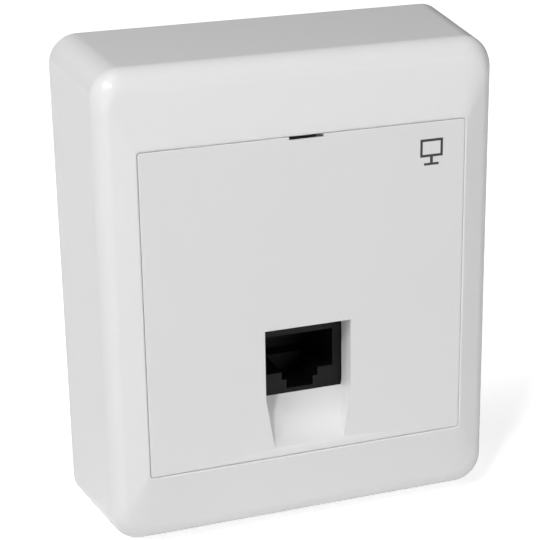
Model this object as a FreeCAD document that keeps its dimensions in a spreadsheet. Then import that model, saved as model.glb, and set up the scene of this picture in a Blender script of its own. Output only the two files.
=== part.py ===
"""Surface mount jack box: one modular jack behind a square plate in a moulded hood.

Frame, in millimetres: X to the right, Z up, Y into the wall.  The wall is the plane
Y = 0 and the box stands out of it towards -Y, so a "rise" is a height above the wall,
and equals -Y.  The origin is the middle of the two wall screw slots.
"""
import FreeCAD
import Part
import math
import os
import re

import Sketcher

document = FreeCAD.newDocument("SurfaceMountJackBox")
sheet = document.addObject("Spreadsheet::Sheet", "Sizes")

# ---------------------------------------------------------------- driving sizes
SIZES = [
    # hood
    ("box_width", 70.2, "hood across its wall edge"),
    ("box_height", 83.0, "hood up its wall edge"),
    ("box_depth", 24.6, "wall to the face of the plate"),
    ("wall_draft", 4.4, "lean of the hood's walls, degrees"),
    ("corner_radius", 5.8, "hood corners at the wall"),
    ("mitre_round", 12.0, "soft round where two bezel slopes meet"),
    ("edge_radius", 3.9, "round between the walls and the bezel"),
    ("bezel_fall", 1.5, "how far the bezel slopes back to its outer edge"),
    ("shell_wall", 2.0, "wall of the hood"),
    ("face_wall", 3.6, "hood's front wall at the window"),
    ("rim_land", 0.25, "flat land round the window"),
    ("breakout_width", 14.0, "thin cable break-out in the lower wall"),
    ("breakout_rise", 9.0, "break-out, height above the wall"),
    ("breakout_skin", 0.9, "skin left at the break-out"),
    # plate
    ("plate_width", 55.0, "square plate"),
    ("plate_height", 54.8, "square plate"),
    ("plate_wall", 2.0, "plate thickness"),
    ("plate_corner", 0.4, "plate corner radius"),
    ("plate_gap", 0.2, "gap between plate and window"),
    ("plate_edge", 0.25, "bevel on the plate's front edge"),
    ("ledge_width", 1.8, "ledge behind the plate"),
    ("seat_gap", 0.1, "play between plate and ledge"),
    ("slot_width", 5.8, "pry slot"),
    ("slot_drop", 0.75, "pry slot, down from the top edge"),
    # port recess in the plate
    ("recess_width", 15.0, "port recess"),
    ("recess_top", 4.75, "recess ceiling, below the plate's centre"),
    ("recess_waist", 17.0, "where the sides start to lean in"),
    ("recess_sill", 18.3, "head of the ramp, at the jack"),
    ("recess_foot", 25.6, "foot of the ramp, in the plate's face"),
    ("foot_width", 12.2, "ramp foot"),
    ("recess_depth", 4.2, "plate face to the jack"),
    ("recess_wall", 1.2, "wall round the recess"),
    ("shroud_set", 0.25, "recess shroud, above the ramp's foot"),
    # hooks and arms on the plate
    ("hook_x", 16.0, "hooks and arms, from the middle"),
    ("hook_width", 7.0, "hook"),
    ("hook_wall", 1.3, "hook thickness"),
    ("hook_set", 0.65, "hook root above the plate's lower edge"),
    ("hook_root", 2.5, "hook root, up the plate"),
    ("hook_reach", 1.6, "hook below the plate's lower edge"),
    ("hook_play", 0.2, "hook clearance"),
    ("arm_width", 5.0, "arm under the top ledge"),
    ("arm_length", 3.4, "arm behind the plate"),
    ("arm_wall", 1.9, "arm thickness"),
    ("arm_taper", 0.6, "arm, taken off each side at its tip"),
    ("arm_lead", 1.0, "arm, length of the upper taper"),
    ("arm_play", 0.6, "arm clearance to the ledge"),
    # hood screws
    ("post_set", 6.2, "hood screw, in from the plate's edge"),
    ("post_z", 4.0, "hood screw, above the middle"),
    ("post_radius", 3.6, "screw post"),
    ("lug_width", 9.0, "lug along Z"),
    ("lug_reach", 10.1, "lug, in from the plate's edge"),
    ("lug_root", 1.0, "lug's root, out from the plate's edge"),
    ("lug_wall", 3.2, "lug thickness"),
    ("head_sink", 1.2, "counterbore in the lug"),
    ("stack_play", 0.1, "play between stacked pieces"),
    ("screw_radius", 1.45, "hood screw shank"),
    ("screw_length", 10.0, "hood screw under its head"),
    ("head_radius", 2.7, "hood screw head"),
    ("head_height", 1.7, "hood screw head"),
    ("cross_reach", 0.55, "cross recess arms, share of a head's radius"),
    ("cross_wall", 0.6, "cross recess arms, across"),
    ("cross_depth", 0.9, "cross recess"),
    ("screw_play", 0.1, "clearance round a shank"),
    ("head_play", 0.3, "clearance round a head"),
    # wall base
    ("fit_gap", 0.25, "base inside the hood"),
    ("base_floor", 2.2, "base thickness"),
    ("base_rim", 6.0, "height of the base's rim"),
    ("rim_wall", 1.4, "rim thickness"),
    ("slot_spacing", 60.0, "wall screw slots, centre to centre"),
    ("wall_slot_width", 4.2, "wall screw slot"),
    ("wall_slot_length", 7.4, "wall screw slot, end to end"),
    ("boss_radius", 2.9, "board boss"),
    ("entry_width", 16.0, "rear cable entry"),
    ("entry_height", 9.0, "rear cable entry"),
    ("entry_x", 18.0, "rear cable entry, from the middle"),
    ("entry_z", 30.2, "rear cable entry, above the middle"),
    ("entry_corner", 2.0, "rear cable entry corners"),
    ("tie_x", 7.4, "tie bar centre, from the middle"),
    ("tie_width", 5.0, "tie bar along Z"),
    ("tie_thick", 3.0, "tie bar along X"),
    ("tie_rise", 6.6, "tie bar top"),
    ("tie_eye", 2.0, "eye under the tie bar"),
    ("eye_width", 3.0, "eye along Z"),
    # circuit board
    ("board_width", 34.0, "circuit board"),
    ("board_height", 43.6, "circuit board"),
    ("board_z", -0.6, "board centre"),
    ("board_wall", 1.6, "board thickness"),
    ("board_rise", 5.3, "board's back above the wall"),
    ("board_corner", 1.0, "board corners"),
    ("screw_inset", 3.8, "lower board screws, in from the board's sides"),
    ("screw_up", 4.6, "lower board screws, above the board's foot"),
    ("screw_down", 6.2, "upper board screw, below the board's top"),
    ("board_screw_radius", 1.2, "board screw shank"),
    ("board_screw_length", 4.4, "board screw under its head"),
    ("board_head_radius", 2.2, "board screw head"),
    ("board_head_height", 1.4, "board screw head"),
    # jack
    ("jack_width", 15.2, "jack housing"),
    ("jack_top", -3.4, "jack housing's top"),
    ("socket_width", 11.8, "plug socket"),
    ("socket_top", -7.6, "plug socket"),
    ("socket_height", 6.65, "plug socket"),
    ("socket_depth", 11.0, "plug socket"),
    ("latch_width", 6.4, "latch notch"),
    ("latch_drop", 1.4, "latch notch"),
    ("tongue_width", 4.7, "inner latch notch"),
    ("tongue_drop", 3.0, "inner latch notch"),
    ("latch_depth", 8.0, "latch notches"),
    ("jack_edge", 0.3, "round on the jack's front edges"),
    ("contact_pitch", 1.016, "contacts, centre to centre"),
    ("contact_width", 0.4, "contact strip"),
    ("contact_wall", 0.3, "contact strip"),
    ("contact_z", -6.35, "contact arms"),
    ("contact_turn", 0.7, "contact fold radius"),
    ("contact_set", 2.4, "contact folds' centre, behind the jack's face"),
    ("contact_slope", 24.0, "fall of the contact's spring end, degrees"),
    ("contact_spring", 7.2, "contact's spring end"),
    ("pin_stand", 0.6, "pins proud of the board's back"),
    ("comb_width", 0.62, "comb slot in the housing"),
    ("carrier_height", 8.2, "contact carrier"),
    ("carrier_width", 12.0, "contact carrier"),
    ("carrier_wall", 2.3, "contact carrier"),
    ("carrier_top", -4.9, "contact carrier's top"),
    ("carrier_play", 0.05, "carrier in its pocket"),
    ("pin_play", 0.05, "contact and pegs in their holes"),
    ("peg_radius", 0.8, "jack's locating peg"),
    ("peg_x", 5.7, "peg, from the middle"),
    ("peg_up", 1.9, "peg, above the jack's underside"),
    # wire terminals
    ("block_x", 11.5, "terminal block, from the middle"),
    ("block_z", 9.3, "terminal block, above the middle"),
    ("block_width", 8.4, "terminal block"),
    ("block_length", 17.2, "terminal block"),
    ("block_height", 9.5, "terminal block"),
    ("wire_pitch", 4.0, "wire slots, centre to centre"),
    ("wire_slot", 0.9, "wire slot"),
    ("wire_depth", 6.0, "wire slot"),
    ("lead_in", 0.9, "chamfer at a wire slot's mouth"),
    ("block_edge", 0.45, "bevel round a block's top"),
    ("groove_width", 2.4, "groove along the block for the tool"),
    ("groove_depth", 1.6, "groove along the block for the tool"),
    ("blade_width", 2.8, "terminal across its fork"),
    ("blade_wall", 0.5, "terminal thickness"),
    ("blade_drop", 2.0, "terminal below the block's top"),
    ("fork_gap", 0.36, "terminal fork"),
    ("fork_depth", 4.6, "terminal fork"),
    ("leg_width", 0.9, "terminal leg"),
    ("blade_play", 0.05, "terminal in its pocket"),
]

for row, (alias, amount, note) in enumerate(SIZES, start=1):
    sheet.set("A%d" % row, alias)
    sheet.set("B%d" % row, str(amount))
    sheet.set("C%d" % row, note)
    sheet.setAlias("B%d" % row, alias)
document.recompute()

ALIASES = {alias for alias, amount, note in SIZES}
CONTACTS = 8
TERMINALS_PER_BLOCK = 4

# ---------------------------------------------------------------- levels worked out from them
FACE = "box_depth"
SHOULDER = "(box_depth - bezel_fall)"
ROOF = "(box_depth - face_wall)"
PLATE_BACK = "(box_depth - plate_wall)"
SEAT = "(box_depth - plate_wall - seat_gap)"
RECESS_BACK = "(box_depth - recess_depth)"
JACK_FACE = "(box_depth - recess_depth - stack_play)"
BOARD_FACE = "(board_rise + board_wall)"
LUG_BACK = "(box_depth - face_wall - lug_wall)"
HEAD_SEAT = "(box_depth - face_wall - head_sink)"
POST_X = "(plate_width / 2 - post_set)"
LUG_INNER = "(plate_width / 2 - lug_reach)"
LUG_OUTER = "(plate_width / 2 + lug_root)"
BLOCK_TOP = "(board_rise + board_wall + block_height)"
PLATE_FOOT = "(0 - plate_height / 2)"
JACK_FOOT = "(0 - recess_sill)"
JACK_MIDDLE = "((jack_top - recess_sill) / 2)"
JACK_HEIGHT = "(jack_top + recess_sill)"
SOCKET_FOOT = "(socket_top - socket_height)"
COMB_TOP = "(contact_z + contact_wall + contact_turn)"
CONTACT_FRONT = "(box_depth - recess_depth - stack_play - contact_set)"
COMB_FRONT = "(%s + contact_turn + 2 * contact_wall)" % CONTACT_FRONT
CARRIER_FRONT = "(board_rise + board_wall + carrier_wall + 2 * carrier_play)"
SCREW_X = "(board_width / 2 - screw_inset)"
SCREW_LOW = "(board_z - board_height / 2 + screw_up)"
SCREW_HIGH = "(board_z + board_height / 2 - screw_down)"
BOARD_SCREWS = [("0 - (%s)" % SCREW_X, SCREW_LOW), (SCREW_X, SCREW_LOW), ("0", SCREW_HIGH)]
FIRST_CONTACT = "((0 - 3.5) * contact_pitch)"
FIRST_TERMINAL = "(block_z - 1.5 * wire_pitch)"
STRIP_HOLE = ("(contact_width + 2 * pin_play)", "(contact_wall + 2 * pin_play)")


def drafted(outer, rise):
    """The hood's width or height at a rise, with its walls leaning in."""
    return "(%s - 2 * %s * tan(wall_draft))" % (outer, rise)


# ---------------------------------------------------------------- expressions and sketches
def bound(text):
    """An expression in the sheet's aliases, as other objects must write it."""
    return re.sub(r"[a-z_]+", lambda m: "Sizes." + m.group() if m.group() in ALIASES else m.group(), text)


def number(text):
    return float(sheet.evalExpression(bound(text)))


def new_body(label):
    body = document.addObject("PartDesign::Body", label)
    body.Label = label
    return body


def origin_feature(body, role):
    return next(item for item in body.Origin.OriginFeatures if item.Role == role)


def new_sketch(body, name, plane="XZ_Plane", at=("0", "0", "0"), turn="0"):
    """A sketch on an origin plane, moved by expressions along the sketch's own axes.

    On XZ_Plane they run along X, Z and the rise; on YZ_Plane along Y, Z and X.
    """
    sketch = body.newObject("Sketcher::SketchObject", name)
    sketch.AttachmentSupport = [(origin_feature(body, plane), "")]
    sketch.MapMode = "FlatFace"
    if turn != "0":
        sketch.AttachmentOffset = FreeCAD.Placement(
            FreeCAD.Vector(), FreeCAD.Rotation(FreeCAD.Vector(1, 0, 0), number(turn)))
        sketch.setExpression("AttachmentOffset.Rotation.Angle", bound(turn))
    for axis, distance in zip("xyz", at):
        sketch.setExpression("AttachmentOffset.Base." + axis, bound(distance))
    return sketch


def dimension(sketch, name, kind, *where):
    """A named constraint whose size follows an expression, the last argument."""
    *geometry, text = where
    index = sketch.addConstraint(Sketcher.Constraint(kind, *geometry, number(text)))
    sketch.renameConstraint(index, name)
    sketch.setExpression("Constraints." + name, bound(text))


def polygon(sketch, points):
    """A closed outline through points given as pairs of expressions."""
    corners = [FreeCAD.Vector(number(x), number(y), 0) for x, y in points]
    count = len(corners)
    for i, corner in enumerate(corners):
        sketch.addGeometry(Part.LineSegment(corner, corners[(i + 1) % count]), False)
    for i in range(count):
        sketch.addConstraint(Sketcher.Constraint("Coincident", i, 2, (i + 1) % count, 1))
    for i, (x, y) in enumerate(points):
        dimension(sketch, "across%d" % i, "DistanceX", -1, 1, i, 1, x)
        dimension(sketch, "up%d" % i, "DistanceY", -1, 1, i, 1, y)
    return sketch


def side_profile(sketch, points):
    """A closed outline on YZ_Plane through (rise, Z) pairs."""
    return polygon(sketch, [("0 - (%s)" % rise, z) for rise, z in points])


def rectangle(sketch, width, height):
    """A rectangle centred on the sketch's origin."""
    x = number(width) / 2
    y = number(height) / 2
    corners = [FreeCAD.Vector(*c) for c in ((-x, -y, 0), (x, -y, 0), (x, y, 0), (-x, y, 0))]
    for i in range(4):
        sketch.addGeometry(Part.LineSegment(corners[i], corners[(i + 1) % 4]), False)
    for i in range(4):
        sketch.addConstraint(Sketcher.Constraint("Coincident", i, 2, (i + 1) % 4, 1))
        sketch.addConstraint(Sketcher.Constraint("Vertical" if i % 2 else "Horizontal", i))
    sketch.addConstraint(Sketcher.Constraint("Symmetric", 0, 1, 2, 1, -1, 1))
    dimension(sketch, "width", "DistanceX", 0, 1, 0, 2, width)
    dimension(sketch, "height", "DistanceY", 1, 1, 1, 2, height)
    return sketch


def rounded_rectangle(sketch, width, height, radius):
    """A rectangle with round corners, centred on the sketch's origin."""
    r = number(radius)
    x = number(width) / 2 - r
    y = number(height) / 2 - r
    right_angle = math.pi / 2
    centres = ((x, y), (-x, y), (-x, -y), (x, -y))
    for i, (cx, cy) in enumerate(centres):
        circle = Part.Circle(FreeCAD.Vector(cx, cy, 0), FreeCAD.Vector(0, 0, 1), r)
        sketch.addGeometry(Part.ArcOfCircle(circle, i * right_angle, (i + 1) * right_angle), False)
    for i in range(4):
        start = sketch.getPoint(i, 2)
        end = sketch.getPoint((i + 1) % 4, 1)
        sketch.addGeometry(Part.LineSegment(start, end), False)
    for i in range(4):
        sketch.addConstraint(Sketcher.Constraint("Tangent", i, 2, 4 + i, 1))
        sketch.addConstraint(Sketcher.Constraint("Tangent", 4 + i, 2, (i + 1) % 4, 1))
        sketch.addConstraint(Sketcher.Constraint("Vertical" if i % 2 else "Horizontal", 4 + i))
    for i in range(1, 4):
        sketch.addConstraint(Sketcher.Constraint("Equal", 0, i))
    sketch.addConstraint(Sketcher.Constraint("Symmetric", 0, 3, 2, 3, -1, 1))
    dimension(sketch, "radius", "Radius", 0, radius)
    dimension(sketch, "width", "DistanceX", 1, 3, 0, 3, "%s - 2 * %s" % (width, radius))
    dimension(sketch, "height", "DistanceY", 3, 3, 0, 3, "%s - 2 * %s" % (height, radius))
    return sketch


def stadium(sketch, length, width):
    """An upright slot with round ends, centred on the sketch's origin."""
    r = number(width) / 2
    reach = number(length) / 2 - r
    half_turn = math.pi
    for side in (1, -1):
        circle = Part.Circle(FreeCAD.Vector(0, side * reach, 0), FreeCAD.Vector(0, 0, 1), r)
        start = 0 if side > 0 else half_turn
        sketch.addGeometry(Part.ArcOfCircle(circle, start, start + half_turn), False)
    for i in range(2):
        sketch.addGeometry(Part.LineSegment(sketch.getPoint(i, 2), sketch.getPoint(1 - i, 1)), False)
    for i in range(2):
        sketch.addConstraint(Sketcher.Constraint("Tangent", i, 2, 2 + i, 1))
        sketch.addConstraint(Sketcher.Constraint("Tangent", 2 + i, 2, 1 - i, 1))
    sketch.addConstraint(Sketcher.Constraint("Vertical", 2))
    sketch.addConstraint(Sketcher.Constraint("Symmetric", 0, 3, 1, 3, -1, 1))
    dimension(sketch, "radius", "Radius", 0, "%s / 2" % width)
    dimension(sketch, "reach", "DistanceY", 1, 3, 0, 3, "%s - %s" % (length, width))
    return sketch


def disc(sketch, radius):
    circle = Part.Circle(FreeCAD.Vector(), FreeCAD.Vector(0, 0, 1), number(radius))
    sketch.addGeometry(circle, False)
    sketch.addConstraint(Sketcher.Constraint("Coincident", 0, 3, -1, 1))
    dimension(sketch, "radius", "Radius", 0, radius)
    return sketch


# ---------------------------------------------------------------- features
def extrude(body, kind, sketch, length, both_ways, outwards):
    feature = body.newObject("PartDesign::" + kind, sketch.Name + "_" + kind.lower())
    feature.Profile = sketch
    feature.setExpression("Length", bound(length))
    feature.Reversed = outwards
    if both_ways:
        feature.SideType = "Symmetric"
    document.recompute()
    return feature


def pad(body, sketch, length, both_ways=False):
    return extrude(body, "Pad", sketch, length, both_ways, False)


def pocket(body, sketch, length, both_ways=False, outwards=False):
    """A cut towards the wall, or away from it."""
    return extrude(body, "Pocket", sketch, length, both_ways, outwards)


def loft(body, kind, sketches):
    feature = body.newObject("PartDesign::" + kind, sketches[0].Name + "_loft")
    feature.Profile = sketches[0]
    feature.Sections = sketches[1:]
    feature.Ruled = True
    document.recompute()
    return feature


def mirror(body, features):
    """The features again on the other side of the plane X = 0."""
    feature = body.newObject("PartDesign::Mirrored", features[0].Name + "_mirrored")
    feature.Originals = features
    feature.MirrorPlane = (origin_feature(body, "YZ_Plane"), [""])
    body.Tip = feature
    document.recompute()
    return feature


def row_of(body, features, axis, pitch, count):
    """The features again along an axis, a pitch apart."""
    feature = body.newObject("PartDesign::LinearPattern", features[0].Name + "_row")
    feature.Originals = features
    feature.Direction = (origin_feature(body, axis), [""])
    feature.Mode = "Spacing"
    feature.Occurrences = count
    feature.setExpression("Offset", bound(pitch))
    body.Tip = feature
    document.recompute()
    return feature


def round_edges(body, base, radius, wanted):
    """A fillet on the edges of a feature that a test picks by their ends."""
    names = ["Edge%d" % i for i, edge in enumerate(base.Shape.Edges, start=1) if wanted(edge)]
    feature = body.newObject("PartDesign::Fillet", base.Name + "_round")
    feature.Base = (base, names)
    feature.setExpression("Radius", bound(radius))
    document.recompute()
    return feature


def bevel_edges(body, base, size, wanted):
    """A chamfer on the edges of a feature that a test picks by their ends."""
    names = ["Edge%d" % i for i, edge in enumerate(base.Shape.Edges, start=1) if wanted(edge)]
    feature = body.newObject("PartDesign::Chamfer", base.Name + "_bevel")
    feature.Base = (base, names)
    feature.setExpression("Size", bound(size))
    document.recompute()
    return feature


def lies_at(rise, tolerance=0.01):
    """A test for edges that lie all at one height above the wall."""
    level = number(rise)
    return lambda edge: all(abs(-vertex.Y - level) < tolerance for vertex in edge.Vertexes)


def is_mitre(edge, level, fall):
    """A straight edge from the bezel's flat land down to its outer edge."""
    rises = sorted(-vertex.Y for vertex in edge.Vertexes)
    return len(rises) == 2 and abs(rises[1] - level) < 0.01 and level - 1.1 * fall < rises[0] < level - 0.1 * fall


def is_rim(edge, level, fall):
    """An edge of the bezel's outer rim, below its land and above the walls' foot."""
    rises = [-vertex.Y for vertex in edge.Vertexes]
    return all(level - 1.1 * fall < rise < level - 0.3 * fall for rise in rises)


def place(body, x="0", rise="0", z="0"):
    body.setExpression("Placement.Base.x", bound(x))
    body.setExpression("Placement.Base.y", bound("0 - (%s)" % rise))
    body.setExpression("Placement.Base.z", bound(z))


# ---------------------------------------------------------------- hood
SIDE_BAND = "((%s - plate_width) / 2 - plate_gap - rim_land)" % drafted("box_width", SHOULDER)


def drafted_block(body, kind, name, inset, top):
    """The hood's drafted form from the wall to a rise, drawn in all round by an inset."""
    sketches = [new_sketch(body, name + "_foot"), new_sketch(body, name + "_top", at=("0", "0", top))]
    for sketch, rise in zip(sketches, ("0", top)):
        rounded_rectangle(sketch, "(%s - 2 * (%s))" % (drafted("box_width", rise), inset),
                          "(%s - 2 * (%s))" % (drafted("box_height", rise), inset),
                          "(corner_radius - %s * tan(wall_draft) - (%s))" % (rise, inset))
    return loft(body, kind, sketches)


def bezel_cut(body, name, plane, land, outer, across):
    """Cuts the front to a flat land with a slope on each side of it, seen along the plane."""
    half = "(%s / 2)" % land
    fall = "(%s - bezel_fall * (%s - %s) / (%s - %s))" % (FACE, outer, land, drafted(outer, SHOULDER), land)
    above = "(%s + bezel_fall)" % FACE
    points = [(above, "0 - " + outer + " / 2"), (fall, "0 - " + outer + " / 2"), (FACE, "0 - " + half),
              (FACE, half), (fall, outer + " / 2"), (above, outer + " / 2")]
    if plane == "YZ_Plane":
        points = [("0 - " + rise, place_) for rise, place_ in points]
    else:
        points = [(place_, "0 - " + rise) for rise, place_ in points]
    return pocket(body, polygon(new_sketch(body, name, plane), points), "(2 * %s)" % across, both_ways=True)


def make_cover():
    """The hood: a drafted block with a sloping bezel, hollowed, with its window and screw lugs."""
    body = new_body("cover")
    window = ("(plate_width + 2 * plate_gap)", "(plate_height + 2 * plate_gap)", "(plate_corner + plate_gap)")
    land = ["(%s + 2 * rim_land)" % size for size in window[:2]]

    drafted_block(body, "AdditiveLoft", "shell", "0", "(box_depth + 0.5 * bezel_fall)")
    bezel_cut(body, "bezel_side", "YZ_Plane", land[1], "box_height", "box_width")
    slopes = bezel_cut(body, "bezel_plan", "XY_Plane", land[0], "box_width", "box_height")
    level = number(FACE)
    fall = number("bezel_fall")
    softened = round_edges(body, slopes, "min(mitre_round; 2.3 * %s)" % SIDE_BAND,
                           lambda edge: is_mitre(edge, level, fall))
    round_edges(body, softened, "min(edge_radius; 0.8 * %s)" % SIDE_BAND,
                lambda edge: is_rim(edge, level, fall))
    drafted_block(body, "SubtractiveLoft", "hollow", "shell_wall", ROOF)

    opening = rounded_rectangle(new_sketch(body, "window", at=("0", "0", FACE)), *window)
    pocket(body, opening, "(plate_wall + seat_gap)")
    ledge_top = "(plate_height / 2 - ledge_width)"
    ledge_foot = "(%s - plate_gap)" % PLATE_FOOT
    inside = rectangle(new_sketch(body, "ledge", at=("0", "(%s + %s) / 2" % (ledge_top, ledge_foot), SEAT)),
                       "(plate_width - 2 * ledge_width)", "(%s - %s)" % (ledge_top, ledge_foot))
    pocket(body, inside, "face_wall")
    notch = rectangle(new_sketch(body, "pry_notch", at=("0", "(%s + plate_height / 2) / 2" % ledge_top, SEAT)),
                      "slot_width", "(plate_height / 2 - %s)" % ledge_top)
    pocket(body, notch, "face_wall")

    lug = rectangle(new_sketch(body, "lug", at=("(%s + %s) / 2" % (LUG_INNER, LUG_OUTER), "post_z", LUG_BACK)),
                    "(%s - %s)" % (LUG_OUTER, LUG_INNER), "lug_width")
    mirror(body, [pad(body, lug, "lug_wall")])
    hole = disc(new_sketch(body, "lug_hole", at=(POST_X, "post_z", ROOF)), "(screw_radius + screw_play)")
    sink = disc(new_sketch(body, "lug_sink", at=(POST_X, "post_z", ROOF)), "(head_radius + head_play)")
    mirror(body, [pocket(body, hole, "lug_wall"), pocket(body, sink, "head_sink")])

    inner_wall = "(0 - box_height / 2 + shell_wall)"
    breakout = new_sketch(body, "breakout", at=("0", inner_wall, "0"), turn="0 - wall_draft")
    rectangle(breakout, "breakout_width", "(2 * (shell_wall - breakout_skin))")
    pocket(body, breakout, "breakout_rise", outwards=True)
    return body


# ---------------------------------------------------------------- square plate
def make_insert_plate():
    """The plate: pry slot, port recess with its ramp, hooks below and arms above."""
    body = new_body("insert_plate")
    outline = rounded_rectangle(new_sketch(body, "plate", at=("0", "0", PLATE_BACK)),
                                "plate_width", "plate_height", "plate_corner")
    slab = pad(body, outline, "plate_wall")
    bevel_edges(body, slab, "plate_edge", lies_at(FACE))

    ceiling = "(0 - recess_top)"
    shroud = side_profile(new_sketch(body, "shroud", "YZ_Plane"), [
        (PLATE_BACK, "(%s + recess_wall)" % ceiling),
        (RECESS_BACK, "(%s + recess_wall)" % ceiling),
        (RECESS_BACK, "(%s - recess_wall)" % JACK_FOOT),
        (PLATE_BACK, "(shroud_set - recess_foot)"),
    ])
    pad(body, shroud, "(recess_width + 2 * recess_wall)", both_ways=True)

    lean = "((recess_width - foot_width) / 2 / (recess_foot - recess_waist))"
    sill_half = "(recess_width / 2 - %s * (recess_sill - recess_waist))" % lean
    waist = "(0 - recess_waist)"
    mouth = new_sketch(body, "recess_mouth", at=("0", "0", FACE))
    throat = new_sketch(body, "recess_throat", at=("0", "0", RECESS_BACK))
    for sketch, low_half, low_z in ((mouth, "(foot_width / 2)", "(0 - recess_foot)"),
                                    (throat, sill_half, JACK_FOOT)):
        half = "(recess_width / 2)"
        polygon(sketch, [("0 - " + half, ceiling), ("0 - " + half, waist), ("0 - " + low_half, low_z),
                         (low_half, low_z), (half, waist), (half, ceiling)])
    loft(body, "SubtractiveLoft", [mouth, throat])

    slot = rectangle(new_sketch(body, "pry_slot", at=("0", "plate_height / 2", FACE)),
                     "slot_width", "(2 * slot_drop)")
    pocket(body, slot, "plate_wall")

    hook_face = "(%s - hook_play)" % ROOF
    hook_back = "(%s - hook_wall)" % hook_face
    stem_foot = "(%s + hook_set)" % PLATE_FOOT
    stem_top = "(%s + hook_root)" % stem_foot
    nose = "(%s - hook_reach)" % PLATE_FOOT
    hook = side_profile(new_sketch(body, "hook", "YZ_Plane", at=("0", "0", "hook_x")), [
        (PLATE_BACK, stem_top), (PLATE_BACK, stem_foot), (hook_face, stem_foot),
        (hook_face, nose), (hook_back, nose), (hook_back, stem_top),
    ])
    arm_top = "(plate_height / 2 - ledge_width - arm_play)"
    arm_end = "(%s - arm_length)" % PLATE_BACK
    arm = side_profile(new_sketch(body, "arm", "YZ_Plane", at=("0", "0", "hook_x")), [
        (PLATE_BACK, arm_top), (PLATE_BACK, "(%s - arm_wall)" % arm_top),
        (arm_end, "(%s - arm_wall + arm_taper)" % arm_top), (arm_end, "(%s - arm_taper)" % arm_top),
        ("(%s + arm_lead)" % arm_end, arm_top),
    ])
    mirror(body, [pad(body, hook, "hook_width", both_ways=True), pad(body, arm, "arm_width", both_ways=True)])
    return body


# ---------------------------------------------------------------- wall base
def make_wall_base():
    """The base on the wall: floor and rim inside the hood, posts, bosses, slots and cable entry."""
    body = new_body("wall_base")
    drafted_block(body, "AdditiveLoft", "base", "shell_wall + fit_gap", "base_rim")
    inset = "(shell_wall + fit_gap + rim_wall)"
    tray = rounded_rectangle(new_sketch(body, "tray", at=("0", "0", "base_rim")),
                             "(%s - 2 * %s)" % (drafted("box_width", "base_rim"), inset),
                             "(%s - 2 * %s)" % (drafted("box_height", "base_rim"), inset),
                             "(corner_radius - %s)" % inset)
    pocket(body, tray, "(base_rim - base_floor)")

    post = disc(new_sketch(body, "post", at=(POST_X, "post_z", "base_floor")), "post_radius")
    post_pad = pad(body, post, "(%s - stack_play - base_floor)" % LUG_BACK)
    pilot = disc(new_sketch(body, "post_pilot", at=(POST_X, "post_z", "%s - stack_play" % LUG_BACK)),
                 "(screw_radius + screw_play / 2)")
    post_hole = pocket(body, pilot, "(screw_length - lug_wall + head_sink + 1)")
    mirror(body, [post_pad, post_hole])

    for i, (x, z) in enumerate(BOARD_SCREWS):
        boss = disc(new_sketch(body, "boss%d" % i, at=(x, z, "base_floor")), "boss_radius")
        pad(body, boss, "(board_rise - base_floor)")
        pilot = disc(new_sketch(body, "boss_pilot%d" % i, at=(x, z, "board_rise")),
                     "(board_screw_radius + screw_play / 2)")
        pocket(body, pilot, "(board_rise - base_floor)")

    for name, z in (("upper_slot", "slot_spacing / 2"), ("lower_slot", "0 - slot_spacing / 2")):
        slot = stadium(new_sketch(body, name, at=("0", z, "base_floor")),
                       "wall_slot_length", "wall_slot_width")
        pocket(body, slot, "base_floor")
    entry = rounded_rectangle(new_sketch(body, "cable_entry", at=("entry_x", "entry_z", "base_floor")),
                              "entry_width", "entry_height", "entry_corner")
    pocket(body, entry, "base_floor")

    tie = rectangle(new_sketch(body, "tie_bar", at=("tie_x", "entry_z", "base_floor")),
                    "tie_thick", "tie_width")
    pad(body, tie, "(tie_rise - base_floor)")
    eye = side_profile(new_sketch(body, "tie_eye", "YZ_Plane", at=("0", "0", "tie_x")), [
        ("base_floor", "entry_z - eye_width / 2"), ("base_floor", "entry_z + eye_width / 2"),
        ("base_floor + tie_eye", "entry_z + eye_width / 2"),
        ("base_floor + tie_eye", "entry_z - eye_width / 2"),
    ])
    pocket(body, eye, "(2 * tie_thick)", both_ways=True)
    return body


# ---------------------------------------------------------------- circuit board
def make_circuit_board():
    """The board, drilled for the contact pins, jack pegs, terminal legs and its screws."""
    body = new_body("circuit_board")
    outline = rounded_rectangle(new_sketch(body, "board", at=("0", "board_z", "board_rise")),
                                "board_width", "board_height", "board_corner")
    pad(body, outline, "board_wall")
    pin = rectangle(new_sketch(body, "pin_hole", at=(FIRST_CONTACT, "contact_z", BOARD_FACE)),
                    *STRIP_HOLE)
    row_of(body, [pocket(body, pin, "board_wall")], "X_Axis", "contact_pitch", CONTACTS)
    leg = rectangle(new_sketch(body, "leg_hole", at=("block_x", FIRST_TERMINAL, BOARD_FACE)),
                    "(blade_wall + 2 * blade_play)", "(leg_width + 2 * blade_play)")
    legs = pocket(body, leg, "board_wall")
    row_of(body, [legs], "Z_Axis", "wire_pitch", TERMINALS_PER_BLOCK)
    leg = rectangle(new_sketch(body, "other_leg_hole", at=("0 - block_x", FIRST_TERMINAL, BOARD_FACE)),
                    "(blade_wall + 2 * blade_play)", "(leg_width + 2 * blade_play)")
    legs = pocket(body, leg, "board_wall")
    row_of(body, [legs], "Z_Axis", "wire_pitch", TERMINALS_PER_BLOCK)
    peg = disc(new_sketch(body, "peg_hole", at=("peg_x", "%s + peg_up" % JACK_FOOT, BOARD_FACE)),
               "(peg_radius + pin_play)")
    mirror(body, [pocket(body, peg, "board_wall")])
    for i, (x, z) in enumerate(BOARD_SCREWS):
        hole = disc(new_sketch(body, "screw_hole%d" % i, at=(x, z, BOARD_FACE)),
                    "(board_screw_radius + screw_play)")
        pocket(body, hole, "board_wall")
    return body


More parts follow.
